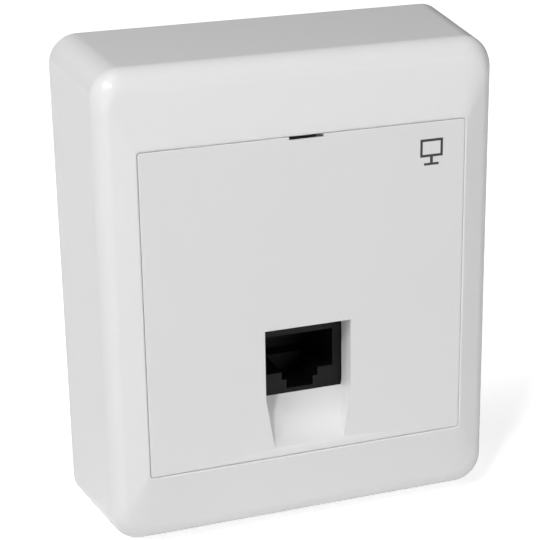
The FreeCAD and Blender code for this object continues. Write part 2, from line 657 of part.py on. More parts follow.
# ---------------------------------------------------------------- jack
def make_jack_housing():
    """The black housing: plug socket with stepped latch notch, contact comb and rear pocket."""
    body = new_body("jack_housing")
    block = rectangle(new_sketch(body, "housing", at=("0", JACK_MIDDLE, BOARD_FACE)),
                      "jack_width", JACK_HEIGHT)
    solid = pad(body, block, "(%s - %s)" % (JACK_FACE, BOARD_FACE))
    round_edges(body, solid, "jack_edge", lies_at(JACK_FACE))

    socket = rectangle(new_sketch(body, "socket", at=("0", "socket_top - socket_height / 2", JACK_FACE)),
                       "socket_width", "socket_height")
    pocket(body, socket, "socket_depth")
    for name, width, drop in (("latch", "latch_width", "latch_drop"), ("tongue", "tongue_width", "tongue_drop")):
        notch = rectangle(new_sketch(body, name, at=("0", "%s - %s / 2" % (SOCKET_FOOT, drop), JACK_FACE)),
                          width, drop)
        pocket(body, notch, "latch_depth")

    comb_height = "(%s - socket_top + contact_turn)" % COMB_TOP
    comb = rectangle(new_sketch(body, "comb", at=(FIRST_CONTACT, "%s - %s / 2" % (COMB_TOP, comb_height),
                                                  COMB_FRONT)),
                     "comb_width", comb_height)
    row_of(body, [pocket(body, comb, "(%s - %s)" % (COMB_FRONT, BOARD_FACE))], "X_Axis",
           "contact_pitch", CONTACTS)
    rear = rectangle(new_sketch(body, "rear_pocket", at=("0", "carrier_top - carrier_height / 2", CARRIER_FRONT)),
                     "(carrier_width + 2 * carrier_play)", "(carrier_height + 2 * carrier_play)")
    pocket(body, rear, "(%s - %s)" % (CARRIER_FRONT, BOARD_FACE))

    peg = disc(new_sketch(body, "peg", at=("peg_x", "%s + peg_up" % JACK_FOOT, "board_rise")), "peg_radius")
    mirror(body, [pad(body, peg, "board_wall")])
    return body


def make_contact_carrier():
    """The moulded comb behind the socket, which holds the contacts in line."""
    body = new_body("contact_carrier")
    block = rectangle(new_sketch(body, "carrier", at=("0", "carrier_top - carrier_height / 2",
                                                      "(%s + carrier_play)" % BOARD_FACE)),
                      "carrier_width", "carrier_height")
    pad(body, block, "carrier_wall")
    hole = rectangle(new_sketch(body, "strip_hole", at=(FIRST_CONTACT, "contact_z", CARRIER_FRONT)),
                     *STRIP_HOLE)
    row_of(body, [pocket(body, hole, "(2 * carrier_wall)")], "X_Axis", "contact_pitch", CONTACTS)
    return body


def make_contact(index):
    """A spring contact: pin and arm in one line, a fold, and the spring end falling back."""
    body = new_body("contact_%d" % (index + 1))
    path = new_sketch(body, "contact_path", "YZ_Plane", at=("0", "contact_z", "0"))
    slope = "contact_slope"
    start = number("board_rise - pin_stand")
    front = number(CONTACT_FRONT)
    turn = number("contact_turn")
    centre = FreeCAD.Vector(-front, -turn, 0)
    lean = math.radians(number("contact_slope"))
    arc = Part.ArcOfCircle(Part.Circle(centre, FreeCAD.Vector(0, 0, 1), turn),
                           math.pi / 2, 3 * math.pi / 2 - lean)
    path.addGeometry(Part.LineSegment(FreeCAD.Vector(-start, 0, 0), FreeCAD.Vector(-front, 0, 0)), False)
    path.addGeometry(arc, False)
    fold_end = path.getPoint(1, 2)
    tip = fold_end + FreeCAD.Vector(number("contact_spring * cos(contact_slope)"),
                                    -number("contact_spring * sin(contact_slope)"), 0)
    path.addGeometry(Part.LineSegment(fold_end, tip), False)
    path.addConstraint(Sketcher.Constraint("Horizontal", 0))
    path.addConstraint(Sketcher.Constraint("Tangent", 0, 2, 1, 1))
    path.addConstraint(Sketcher.Constraint("Tangent", 1, 2, 2, 1))
    path.addConstraint(Sketcher.Constraint("PointOnObject", 0, 1, -1))
    dimension(path, "start", "DistanceX", -1, 1, 0, 1, "0 - (board_rise - pin_stand)")
    dimension(path, "front", "DistanceX", -1, 1, 0, 2, "0 - " + CONTACT_FRONT)
    dimension(path, "turn", "Radius", 1, "contact_turn")
    dimension(path, "fall", "DistanceY", 2, 2, 2, 1, "contact_spring * sin(%s)" % slope)
    dimension(path, "back", "DistanceX", 2, 1, 2, 2, "contact_spring * cos(%s)" % slope)

    strip = rectangle(new_sketch(body, "contact_strip", at=("0", "contact_z", "board_rise - pin_stand")),
                      "contact_width", "contact_wall")
    pipe = body.newObject("PartDesign::AdditivePipe", "contact_pipe")
    pipe.Profile = strip
    pipe.Spine = (path, [])
    document.recompute()
    place(body, x="%s + %d * contact_pitch" % (FIRST_CONTACT, index))
    return body


# ---------------------------------------------------------------- wire terminals
def make_terminal_block(label, side):
    """A terminal block: tapered wire slots across it, and a pocket for each terminal."""
    body = new_body(label)
    outline = rectangle(new_sketch(body, "block", at=("0", "0", BOARD_FACE)), "block_width", "block_length")
    solid = pad(body, outline, "block_height")
    bevel_edges(body, solid, "block_edge", lies_at(BLOCK_TOP))
    first = "((0 - 1.5) * wire_pitch)"
    slot = side_profile(new_sketch(body, "wire_slot", "YZ_Plane"), [
        (BLOCK_TOP, "%s - wire_slot / 2 - lead_in" % first),
        ("(%s - lead_in)" % BLOCK_TOP, "%s - wire_slot / 2" % first),
        ("(%s - wire_depth)" % BLOCK_TOP, "%s - wire_slot / 2" % first),
        ("(%s - wire_depth)" % BLOCK_TOP, "%s + wire_slot / 2" % first),
        ("(%s - lead_in)" % BLOCK_TOP, "%s + wire_slot / 2" % first),
        (BLOCK_TOP, "%s + wire_slot / 2 + lead_in" % first),
    ])
    slots = pocket(body, slot, "(2 * block_width)", both_ways=True)
    hole = rectangle(new_sketch(body, "blade_pocket", at=("0", first, BLOCK_TOP)),
                     "(blade_wall + 2 * blade_play)", "(blade_width + 2 * blade_play)")
    holes = pocket(body, hole, "block_height")
    row_of(body, [slots, holes], "Z_Axis", "wire_pitch", TERMINALS_PER_BLOCK)
    groove = rectangle(new_sketch(body, "tool_groove", at=("0", "0", BLOCK_TOP)),
                       "groove_width", "(2 * block_length)")
    pocket(body, groove, "groove_depth")
    place(body, x="%d * block_x" % side, z="block_z")
    return body


def make_terminal(index):
    """A forked terminal with its leg through the board."""
    body = new_body("idc_%d" % (index + 1))
    side = -1 if index < TERMINALS_PER_BLOCK else 1
    step = index % TERMINALS_PER_BLOCK
    top = "(%s - blade_drop)" % BLOCK_TOP
    crotch = "(%s - fork_depth)" % top
    root = "(%s + blade_play)" % BOARD_FACE
    half = "(blade_width / 2)"
    gap = "(fork_gap / 2)"
    mouth = "(blade_width / 4)"
    leg = "(leg_width / 2)"
    end = "(board_rise - pin_stand)"
    right_side = [(end, leg), (root, leg), (root, half), (top, half), (top, mouth),
                  ("(%s - blade_width / 4)" % top, gap), (crotch, gap)]
    left_side = [(rise, "0 - " + z) for rise, z in reversed(right_side)]
    blade = side_profile(new_sketch(body, "blade", "YZ_Plane"), right_side + left_side)
    pad(body, blade, "blade_wall", both_ways=True)
    place(body, x="%d * block_x" % side, z="%s + %d * wire_pitch" % (FIRST_TERMINAL, step))
    return body


# ---------------------------------------------------------------- screws
def make_screw(label, shank, length, head, height, x, rise, z):
    """A cheese head screw whose head sits at a rise, with a cross recess; its thread is left off."""
    body = new_body(label)
    profile = side_profile(new_sketch(body, "screw_profile", "YZ_Plane"), [
        ("0 - " + length, "0"), ("0 - " + length, shank), ("0", shank), ("0", head), (height, head),
        (height, "0"),
    ])
    turned = body.newObject("PartDesign::Revolution", "turned")
    turned.Profile = profile
    turned.ReferenceAxis = (profile, ["H_Axis"])
    turned.Angle = 360
    document.recompute()
    arm = "(cross_reach * %s)" % head
    slit = "(cross_wall / 2)"
    quarter = [(arm, slit), (slit, slit), (slit, arm)]
    corners = quarter + [("0 - " + x_, y_) for x_, y_ in reversed(quarter)]
    corners += [("0 - " + x_, "0 - " + y_) for x_, y_ in quarter]
    corners += [(x_, "0 - " + y_) for x_, y_ in reversed(quarter)]
    cross = polygon(new_sketch(body, "cross", at=("0", "0", height)), corners)
    pocket(body, cross, "cross_depth")
    place(body, x, rise, z)
    return body


# ---------------------------------------------------------------- all pieces
bodies = [make_cover(), make_insert_plate(), make_wall_base(), make_circuit_board(), make_jack_housing(),
          make_contact_carrier()]
bodies += [make_contact(i) for i in range(CONTACTS)]
bodies += [make_terminal_block("idc_block_left", -1), make_terminal_block("idc_block_right", 1)]
bodies += [make_terminal(i) for i in range(2 * TERMINALS_PER_BLOCK)]
bodies += [make_screw("board_screw_%d" % (i + 1), "board_screw_radius", "board_screw_length",
                      "board_head_radius", "board_head_height", x, BOARD_FACE, z)
           for i, (x, z) in enumerate(BOARD_SCREWS)]
bodies += [make_screw("cover_screw_" + name, "screw_radius", "screw_length", "head_radius", "head_height",
                      "%d * %s" % (side, POST_X), HEAD_SEAT, "post_z")
           for name, side in (("left", -1), ("right", 1))]
document.recompute()


# ---------------------------------------------------------------- checks and files
def check(body):
    """Every feature is built, every cut takes something away, and one solid comes out."""
    before = 0.0
    for item in body.Group:
        if "Invalid" in item.State or "Error" in item.State:
            raise RuntimeError("%s: %s failed" % (body.Label, item.Name))
        if item.TypeId == "Sketcher::SketchObject":
            continue
        volume = item.Shape.Volume
        cuts = item.TypeId in ("PartDesign::Pocket", "PartDesign::SubtractiveLoft")
        if cuts and volume >= before - 1e-6:
            raise RuntimeError("%s: %s cuts nothing" % (body.Label, item.Name))
        before = volume
    shape = body.Shape
    if shape.isNull() or not shape.isValid() or len(shape.Solids) != 1:
        raise RuntimeError("%s is not one valid solid" % body.Label)


os.makedirs("parts", exist_ok=True)
for body in bodies:
    check(body)
for body in bodies:
    body.Shape.exportStep("parts/%s.step" % body.Label)
    print("%-16s %9.2f mm3" % (body.Label, body.Shape.Volume))
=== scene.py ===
# %% [markdown]
# # A surface mount jack box
#
# A surface mount jack box is a small white housing that is screwed to a wall where a
# network cable ends.  A hood covers a wall base with a circuit board, and a square plate
# in the front of the hood frames one modular jack.  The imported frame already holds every
# piece at its exact size.  This lesson dresses it: the hood and the plate are modelled
# again with rounder edges, and the small parts behind them get real finishes.

# %% Load the frame
import math
from collections import namedtuple

import bpy
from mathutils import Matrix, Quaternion, Vector


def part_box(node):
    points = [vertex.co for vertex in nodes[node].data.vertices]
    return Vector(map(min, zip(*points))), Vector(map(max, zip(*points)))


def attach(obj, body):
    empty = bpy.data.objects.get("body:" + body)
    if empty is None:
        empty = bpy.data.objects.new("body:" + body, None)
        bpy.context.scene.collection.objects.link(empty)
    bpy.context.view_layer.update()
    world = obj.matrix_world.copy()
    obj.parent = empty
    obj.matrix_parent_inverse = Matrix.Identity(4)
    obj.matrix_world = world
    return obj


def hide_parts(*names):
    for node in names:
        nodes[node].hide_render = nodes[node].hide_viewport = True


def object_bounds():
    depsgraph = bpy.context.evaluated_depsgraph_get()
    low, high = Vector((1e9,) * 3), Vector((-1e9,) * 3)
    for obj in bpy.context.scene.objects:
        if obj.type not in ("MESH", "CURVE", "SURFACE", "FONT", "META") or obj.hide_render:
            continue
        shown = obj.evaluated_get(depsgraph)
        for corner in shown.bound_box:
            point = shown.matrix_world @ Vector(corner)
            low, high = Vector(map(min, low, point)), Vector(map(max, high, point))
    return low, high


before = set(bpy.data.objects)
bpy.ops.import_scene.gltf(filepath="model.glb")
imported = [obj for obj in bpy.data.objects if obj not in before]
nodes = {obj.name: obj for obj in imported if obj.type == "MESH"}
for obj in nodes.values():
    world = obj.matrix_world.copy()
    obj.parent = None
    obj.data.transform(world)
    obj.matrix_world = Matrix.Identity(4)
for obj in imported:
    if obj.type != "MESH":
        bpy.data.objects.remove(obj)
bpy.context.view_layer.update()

# %% [markdown]
# ## Units and places
#
# The frame is in metres: X runs to the right, Z up and Y into the wall, so the front of the
# box is its lowest Y.  Moulded parts are drawn in millimetres, so one helper turns a place
# in millimetres into metres.  Its middle value is the *rise*, the height above the wall.

# %% Millimetres
MM = 0.001


def at(x, rise, z):
    """A place in metres from millimetres to the right, off the wall and up."""
    return Vector((x * MM, -rise * MM, z * MM))


# %% [markdown]
# ## The camera
#
# The box is seen from its left and a little above, through a long lens, which keeps its
# upright edges almost parallel.  A camera can be turned by three angles, but a place and an
# aim are easier to read: the camera looks along the line between them, and is then rolled by
# a degree about that line.

# %% Camera
LENS, SENSOR, ROLL = 112.66, 36, -0.97
eye = at(-90.79, 264.96, 96.41)
aim = at(-6.455, 24.6, 5.763)

bpy.ops.object.camera_add(location=eye)
camera = bpy.context.object
camera.name = "camera"
camera.data.lens = LENS
camera.data.sensor_width = SENSOR
camera.data.clip_start = 0.01
sight = aim - camera.location
camera.rotation_mode = "QUATERNION"
camera.rotation_quaternion = sight.to_track_quat("-Z", "Y") @ Quaternion((0, 0, 1), math.radians(ROLL))
bpy.context.scene.camera = camera
print("camera is %.0f mm from its target" % (sight.length / MM))

# %% [markdown]
# ## Starting a block and picking its parts
#
# A moulding starts as a block, and edit-mode operators then act on what is selected.  By hand
# one clicks on faces.  In a script the same choice is made by a test, which gets the middle
# and the corners of each face, edge or vertex in millimetres.  Picking by index would be
# shorter, but indices change with every cut, and a place does not.

# %% New block
def new_block(name, low, high):
    """A block between two corners given in millimetres, left in edit mode."""
    bpy.ops.object.select_all(action="DESELECT")
    middle = [(a + b) / 2 for a, b in zip(low, high)]
    size = [abs(b - a) * MM for a, b in zip(low, high)]
    bpy.ops.mesh.primitive_cube_add(size=1, location=at(*middle), scale=size)
    block = bpy.context.object
    block.name = name
    bpy.ops.object.transform_apply()
    bpy.ops.object.mode_set(mode="EDIT")
    return block


print("block maker ready")

# %% Pick
Place = namedtuple("Place", "x rise z")


def pick(kind, test):
    """Selects the vertices, edges or faces that pass a test(middle, corners), and no others."""
    bpy.ops.mesh.select_mode(type=kind)
    bpy.ops.mesh.select_all(action="DESELECT")
    bpy.ops.object.mode_set(mode="OBJECT")
    mesh = bpy.context.object.data
    elements = {"VERT": mesh.vertices, "EDGE": mesh.edges, "FACE": mesh.polygons}[kind]
    for element in elements:
        keys = [element.index] if kind == "VERT" else element.vertices
        points = [mesh.vertices[key].co / MM for key in keys]
        corners = [Place(point.x, -point.y, point.z) for point in points]
        middle = Place(*(sum(values) / len(values) for values in zip(*corners)))
        element.select = bool(test(middle, corners))
    bpy.ops.object.mode_set(mode="EDIT")


print("a test sees:", Place._fields)

# %% Tests for picking
NEAR = 0.01


def lies_at(level):
    """A test for what lies wholly at one height above the wall."""
    return lambda middle, corners: all(abs(p.rise - level) < NEAR for p in corners)


def stands_off(middle, corners):
    """A test for an edge that runs away from the wall."""
    return abs(corners[0].rise - corners[1].rise) > NEAR


print("places count as the same within %.2f mm" % NEAR)

# %% [markdown]
# ## The hood: walls
#
# The hood is one moulding.  Its walls lean in by a few degrees so that it leaves its mould,
# and its four long corners are round.  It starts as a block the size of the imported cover,
# less the fall of its front, and is narrowed at the front.  All its edges could be bevelled
# at once, but they would get one radius, and the real corners are rounder than the rim.  So
# the long edges come first and the rim later, which gives ball-like corners between them.

# %% Move and scale
def move(x=0, rise=0, z=0):
    """Moves what is selected, in millimetres."""
    bpy.ops.transform.translate(value=at(x, rise, z))


def grow(x=1, z=1):
    """Scales what is selected across the box, about its middle."""
    bpy.ops.transform.resize(value=(x, 1, z), center_override=(0, 0, 0))


print("move and grow ready")

# %% Hood walls
WIDTH, DEPTH, HEIGHT = (round((b - a) / MM, 2) for a, b in zip(*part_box("cover")))
DRAFT = math.tan(math.radians(4.4))
BEZEL_FALL = 1.5
SHOULDER = DEPTH - BEZEL_FALL
CORNER = 4.8
lean = 2 * SHOULDER * DRAFT

hood = new_block("hood", (-WIDTH / 2, 0, -HEIGHT / 2), (WIDTH / 2, SHOULDER, HEIGHT / 2))
pick("FACE", lies_at(SHOULDER))
grow(x=1 - lean / WIDTH, z=1 - lean / HEIGHT)
pick("EDGE", stands_off)
bpy.ops.mesh.bevel(offset=CORNER * MM, segments=14, profile=0.5)
print("hood: %.1f mm wide at the wall, %.2f mm at the shoulder" % (WIDTH, WIDTH - lean))

# %% [markdown]
# ## The hood: bezel
#
# The front slopes back from the window on all four sides, and the slopes meet in mitres.
# The bands above and below the window are wider than those at its sides, and an inset makes
# bands of one width.  So the inset is narrower than both, which leaves a small radius at the
# corners, and the four sides of its loop are then moved in to the window.  Lifting the face
# inside gives the slopes, and a bevel rounds the rim.

# %% Bezel bands
WINDOW_WIDTH, WINDOW_HEIGHT = 55.12, 55.0
RIM_LAND, LAND_CORNER = 0.45, 0.95
side_band = (WIDTH - lean - WINDOW_WIDTH) / 2 - RIM_LAND
end_band = (HEIGHT - lean - WINDOW_HEIGHT) / 2 - RIM_LAND
first_band = CORNER - LAND_CORNER
inner_x = (WIDTH - lean) / 2 - first_band + NEAR
inner_z = (HEIGHT - lean) / 2 - first_band + NEAR


def is_inner(place):
    """Whether a place at the shoulder lies on the loop that the inset has made."""
    return place.rise > SHOULDER - NEAR and abs(place.x) < inner_x and abs(place.z) < inner_z


pick("FACE", lies_at(SHOULDER))
bpy.ops.mesh.inset(thickness=first_band * MM)
for side in (1, -1):
    pick("VERT", lambda middle, corners: is_inner(middle) and middle.x * side > 0)
    move(x=-side * (side_band - first_band))
    pick("VERT", lambda middle, corners: is_inner(middle) and middle.z * side > 0)
    move(z=-side * (end_band - first_band))
print("bands: %.2f mm at the sides, %.2f mm above and below" % (side_band, end_band))

# %% Bezel fall and rim
RIM_ROUND = 3.1


def is_cap(level):
    """A test for a face with round corners at one height above the wall."""
    return lambda middle, corners: len(corners) > 8 and lies_at(level)(middle, corners)


pick("FACE", is_cap(SHOULDER))
move(rise=BEZEL_FALL)
pick("EDGE", lies_at(SHOULDER))
bpy.ops.mesh.bevel(offset=RIM_ROUND * MM, segments=12, profile=0.5, clamp_overlap=False)
print("the bezel falls %.1f mm and ends in a round of %.1f mm" % (BEZEL_FALL, RIM_ROUND))

# %% [markdown]
# ## The hood: window
#
# The plate sits in a window, on a narrow ledge.  A Boolean could cut the window, but letting
# it in from the front, face by face, keeps a clean loop for the bevel of its edge.  Below,
# the ledge is all but left out, because the plate's hooks pass there.  The window's upper
# edge is let down a little, so that it closes more tightly on the plate than the lower one.

# %% Window and ledge
FACE_WALL, PLATE_WALL, SEAT_PLAY = 3.6, 2.0, 0.1
ROOF = DEPTH - FACE_WALL
SEAT = DEPTH - PLATE_WALL - SEAT_PLAY
LEDGE, LEDGE_FOOT = 1.8, 0.1

pick("FACE", is_cap(DEPTH))
bpy.ops.mesh.inset(thickness=RIM_LAND * MM)
bpy.ops.mesh.extrude_region()
move(rise=SEAT - DEPTH)
bpy.ops.mesh.extrude_region()
grow(x=1 - 2 * LEDGE / WINDOW_WIDTH, z=1 - 2 * LEDGE / WINDOW_HEIGHT)
bpy.ops.mesh.extrude_region()
move(rise=ROOF - SEAT)
pick("VERT", lambda middle, corners: ROOF - NEAR < middle.rise < SEAT + NEAR
     and abs(middle.x) < WINDOW_WIDTH / 2 - LEDGE + NEAR
     and LEDGE - WINDOW_HEIGHT / 2 - NEAR < middle.z < 0)
move(z=LEDGE_FOOT - LEDGE)
print("window let in to a rise of %.1f mm" % ROOF)

# %% Window edge
WINDOW_DROP, WINDOW_EDGE = 0.15, 0.22


def in_window(place):
    """Whether a place lies in the window's outline or on it."""
    return abs(place.x) < WINDOW_WIDTH / 2 + NEAR and abs(place.z) < WINDOW_HEIGHT / 2 + NEAR


pick("VERT", lambda middle, corners: in_window(middle) and middle.rise > SEAT - NEAR
     and middle.z > WINDOW_HEIGHT / 2 - LAND_CORNER)
move(z=-WINDOW_DROP)
pick("EDGE", lambda middle, corners: lies_at(DEPTH)(middle, corners) and all(map(in_window, corners)))
bpy.ops.mesh.bevel(offset=WINDOW_EDGE * MM, segments=4, profile=0.5, clamp_overlap=False)
print("window's upper edge let down by %.2f mm" % WINDOW_DROP)

# %% [markdown]
# ## The hood: hollow
#
# Inside, the hood is plain, and its hollow follows the draft of the walls.  A Solidify
# modifier would make walls too, but they would repeat the bezel and the ledge inside.  Here
# the back is inset by the wall and pushed in, until it ends at the same height as the window
# does.  A bridge between the two loops then closes the shell.

# %% Hollow
SHELL = 2.0
hollow_width, hollow_height = WIDTH - 2 * SHELL, HEIGHT - 2 * SHELL

pick("FACE", is_cap(0))
bpy.ops.mesh.inset(thickness=SHELL * MM)
bpy.ops.mesh.extrude_region()
move(rise=ROOF)
grow(x=1 - 2 * ROOF * DRAFT / hollow_width, z=1 - 2 * ROOF * DRAFT / hollow_height)
pick("FACE", is_cap(ROOF))
bpy.ops.mesh.delete(type="ONLY_FACE")
pick("EDGE", lies_at(ROOF))
bpy.ops.mesh.bridge_edge_loops()
bpy.ops.object.mode_set(mode="OBJECT")
print("hood faces:", len(hood.data.polygons))

# %% [markdown]
# ## The hood: lugs
#
# Two lugs under the ledge take the screws that hold the hood down, each with a hole and a
# sunk seat for the head.  They could be drawn out of the hood's own faces, but a round hole
# needs a round loop there.  So a lug is a block of its own with two round corners, and rods
# will cut its holes.  A rod reaches a millimetre past each face that it cuts, because a cut is
# unsure where two faces lie in one plane.  One of each is modelled and then mirrored.

# %% Rods and mirrors
def new_rod(name, x, z, low, high, radius):
    """A round rod that stands off the wall between two heights."""
    bpy.ops.object.select_all(action="DESELECT")
    bpy.ops.mesh.primitive_cylinder_add(vertices=48, radius=radius * MM, depth=(high - low) * MM,
                                        location=at(x, (low + high) / 2, z), rotation=(math.pi / 2, 0, 0))
    rod = bpy.context.object
    rod.name = name
    bpy.ops.object.transform_apply()
    return rod


def use_modifier(piece, kind, **settings):
    """Adds a modifier, sets it and applies it at once."""
    bpy.context.view_layer.objects.active = piece
    modifier = piece.modifiers.new(kind.title(), kind)
    for key, value in settings.items():
        setattr(modifier, key, value)
    bpy.ops.object.modifier_apply(modifier=modifier.name)


def mirror(*pieces):
    """Gives each piece its twin on the other side of the box."""
    for piece in pieces:
        use_modifier(piece, "MIRROR", use_axis=(True, False, False))


print("rods and mirrors ready")

# %% Lugs
SCREW_X, SCREW_Z = 21.3, 4.0
LUG_INNER, LUG_OUTER, LUG_HALF, LUG_CORNER, LUG_WALL = 17.4, 28.5, 4.5, 1.2, 3.2
HOLE_RADIUS, HEAD_RADIUS, HEAD_SINK = 1.55, 3.0, 1.2
PAST = 1
lug_foot = ROOF - LUG_WALL

lug = new_block("lug", (LUG_INNER, lug_foot, SCREW_Z - LUG_HALF), (LUG_OUTER, ROOF, SCREW_Z + LUG_HALF))
pick("EDGE", lambda middle, corners: middle.x < LUG_INNER + NEAR and stands_off(middle, corners))
bpy.ops.mesh.bevel(offset=LUG_CORNER * MM, segments=6, profile=0.5)
bpy.ops.object.mode_set(mode="OBJECT")
hole = new_rod("lug_hole", SCREW_X, SCREW_Z, lug_foot - PAST, ROOF + PAST, HOLE_RADIUS)
sink = new_rod("lug_seat", SCREW_X, SCREW_Z, ROOF - HEAD_SINK, ROOF + PAST, HEAD_RADIUS)
mirror(lug, hole, sink)
print("lugs hang %.1f mm below the roof" % LUG_WALL)

# %% [markdown]
# ## The hood: notch and break-out
#
# The ledge has a notch behind the plate's pry slot, so that a screwdriver gets under the
# plate.  The lower wall is thinned inside, where an installer breaks it out for a cable in a
# duct.  Both could be inset by hand, but a block that is cut away is easier to move later.
# The second one leans with the wall.

# %% Notch and break-out
def new_cutter(name, low, high):
    """A plain block to cut with, left in object mode."""
    block = new_block(name, low, high)
    bpy.ops.object.mode_set(mode="OBJECT")
    return block


SLOT_HALF, NOTCH_TOP, NOTCH_DEEPER, NOTCH_HIGHER = 2.9, 27.4, 0.5, 0.3
BREAKOUT_HALF, BREAKOUT_RISE, BREAKOUT_CUT = 7, 9, 1.1
inner_wall = -HEIGHT / 2 + SHELL

notch = new_cutter("pry_notch", (-SLOT_HALF, ROOF - PAST, WINDOW_HEIGHT / 2 - LEDGE - NOTCH_DEEPER),
                   (SLOT_HALF, SEAT + NOTCH_HIGHER, NOTCH_TOP))
breakout = new_block("breakout", (-BREAKOUT_HALF, -PAST, inner_wall - BREAKOUT_CUT),
                     (BREAKOUT_HALF, BREAKOUT_RISE, inner_wall + BREAKOUT_CUT))
for level in (-PAST, BREAKOUT_RISE):
    pick("VERT", lies_at(level))
    move(z=level * DRAFT)
bpy.ops.object.mode_set(mode="OBJECT")
print("break-out leaves a skin of %.1f mm" % (SHELL - BREAKOUT_CUT))

# %% [markdown]
# ## The hood: one solid
#
# The lugs are joined to the hood, and the holes, the notch and the break-out are cut from
# it.  A Boolean modifier does both, and it is applied at once, so that the hood ends as a
# plain mesh.  It is then shaded smooth up to an angle, rides on the fixed body and takes the
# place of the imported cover.  Weighted normals keep its large faces flat next to the rounds.

# %% Join, cut and finish
SHARP = 30


def combine(piece, operation, *solids):
    """Joins solids to a piece, or cuts them from it, and removes them."""
    for solid in solids:
        use_modifier(piece, "BOOLEAN", object=solid, operation=operation, solver="EXACT")
        bpy.data.objects.remove(solid)


def finish(piece, body, angle=SHARP):
    """Shades a piece smooth up to an angle and fixes it to a body."""
    bpy.ops.object.select_all(action="DESELECT")
    piece.select_set(True)
    bpy.context.view_layer.objects.active = piece
    bpy.ops.object.shade_smooth_by_angle(angle=math.radians(angle))
    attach(piece, body)
    print(piece.name, "faces:", len(piece.data.polygons))


combine(hood, "UNION", lug)
combine(hood, "DIFFERENCE", hole, sink, notch, breakout)
finish(hood, "box")
use_modifier(hood, "WEIGHTED_NORMAL", keep_sharp=True)
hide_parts("cover")

# %% [markdown]
# ## The plate: slab and shroud
#
# The square plate is a second moulding, and it sits flush in the window.  Its front edge is
# a little soft, which draws a thin bright line round it.  Behind it a shroud leads to the
# jack.  Both could be drawn from one block, but as two solids that are joined they keep plain
# sizes of their own, and the recess can then be cut through both at once.

# %% Plate slab
PLATE_WIDTH, PLATE_TOP, PLATE_FOOT = 55.0, 27.3, -27.4
PLATE_CORNER, PLATE_EDGE = 0.45, 0.16
PLATE_BACK = DEPTH - PLATE_WALL

plate = new_block("front_plate", (-PLATE_WIDTH / 2, PLATE_BACK, PLATE_FOOT),
                  (PLATE_WIDTH / 2, DEPTH, PLATE_TOP))
pick("EDGE", stands_off)
bpy.ops.mesh.bevel(offset=PLATE_CORNER * MM, segments=4, profile=0.5)
pick("EDGE", lies_at(DEPTH))
bpy.ops.mesh.bevel(offset=PLATE_EDGE * MM, segments=4, profile=0.5)
bpy.ops.object.mode_set(mode="OBJECT")
print("plate is %.1f mm high and %.1f mm thick" % (PLATE_TOP - PLATE_FOOT, PLATE_WALL))

# %% Shroud
RECESS_DEPTH, RECESS_HALF, RECESS_TOP = 4.2, 7.5, -4.75
WAIST, SILL, FOOT, FOOT_HALF = -17.0, -18.0, -25.6, 6.1
LINING, OVERLAP = 1.2, 0.5
RECESS_BACK = DEPTH - RECESS_DEPTH

shroud = new_block("shroud", (-RECESS_HALF - LINING, RECESS_BACK, SILL - LINING),
                   (RECESS_HALF + LINING, PLATE_BACK + OVERLAP, RECESS_TOP + LINING))
pick("VERT", lambda middle, corners: middle.rise > PLATE_BACK and middle.z < WAIST)
move(z=FOOT - SILL + LINING)
bpy.ops.object.mode_set(mode="OBJECT")
print("shroud reaches %.1f mm behind the plate's face" % RECESS_DEPTH)

# %% [markdown]
# ## The plate: recess and pry slot
#
# The recess runs straight in to the jack.  Below the jack a ramp slopes down and out to the
# plate's face, so that a finger reaches the plug's latch, and the sides lean in beside it.
# The recess could be inset in the slab, but its ramp runs through slab and shroud, so it is
# cut with a block of its own shape: straight down to the waist, then one more step whose
# corners are put on the ramp's line.  The pry slot is a notch in the upper edge.  Behind a
# thin lip the plate is cut away further, so the slot looks into the dark of the box.

# %% Recess
LEAN_IN = (RECESS_HALF - FOOT_HALF) / (WAIST - FOOT)
RAMP = (FOOT - SILL) / RECESS_DEPTH
step = 1
deep, proud = RECESS_BACK - OVERLAP, DEPTH + PAST

recess = new_block("recess", (-RECESS_HALF, deep, WAIST), (RECESS_HALF, proud, RECESS_TOP))
pick("FACE", lambda middle, corners: abs(middle.z - WAIST) < NEAR)
bpy.ops.mesh.extrude_region()
move(z=-step)
for level in (deep, proud):
    low = SILL + RAMP * (level - RECESS_BACK)
    pick("VERT", lambda middle, corners: lies_at(level)(middle, corners) and middle.z < WAIST - step / 2)
    grow(x=1 - LEAN_IN * (WAIST - low) / RECESS_HALF)
    move(z=low - (WAIST - step))
bpy.ops.object.mode_set(mode="OBJECT")
print("ramp leans %.0f degrees" % math.degrees(math.atan(-RAMP)))

# %% Pry slot
SLOT_DROP, SLOT_LIP, RELIEF_DROP = 0.5, 0.4, 1.8

slot = new_cutter("pry_slot", (-SLOT_HALF, DEPTH - PAST, PLATE_TOP - SLOT_DROP),
                  (SLOT_HALF, DEPTH + PAST, PLATE_TOP + PAST))
relief = new_cutter("slot_relief", (-SLOT_HALF, PLATE_BACK - PAST, PLATE_TOP - RELIEF_DROP),
                    (SLOT_HALF, DEPTH - SLOT_LIP, PLATE_TOP + PAST))
combine(plate, "UNION", shroud)
combine(plate, "DIFFERENCE", recess, slot, relief)
print("plate faces after the cuts:", len(plate.data.polygons))

# %% [markdown]
# ## The plate: hooks and arms
#
# Two hooks below reach behind the hood's front, and the plate rocks on them.  Two tapered
# arms above pass just under the ledge and steady the plate's upper edge.  A hook could be two
# blocks that are joined, but extruding needs no Boolean: a small block is drawn up and then
# forward to the plate, as an L.  An arm is a block with a narrower tip.

# %% Hooks
HOOK_INNER, HOOK_OUTER, HOOK_WALL, HOOK_PLAY = 12.5, 19.5, 1.3, 0.2
HOOK_REACH, HOOK_SET, HOOK_ROOT = 1.6, 0.65, 2.5
ROOT_OVERLAP = 0.2
hook_face = ROOF - HOOK_PLAY

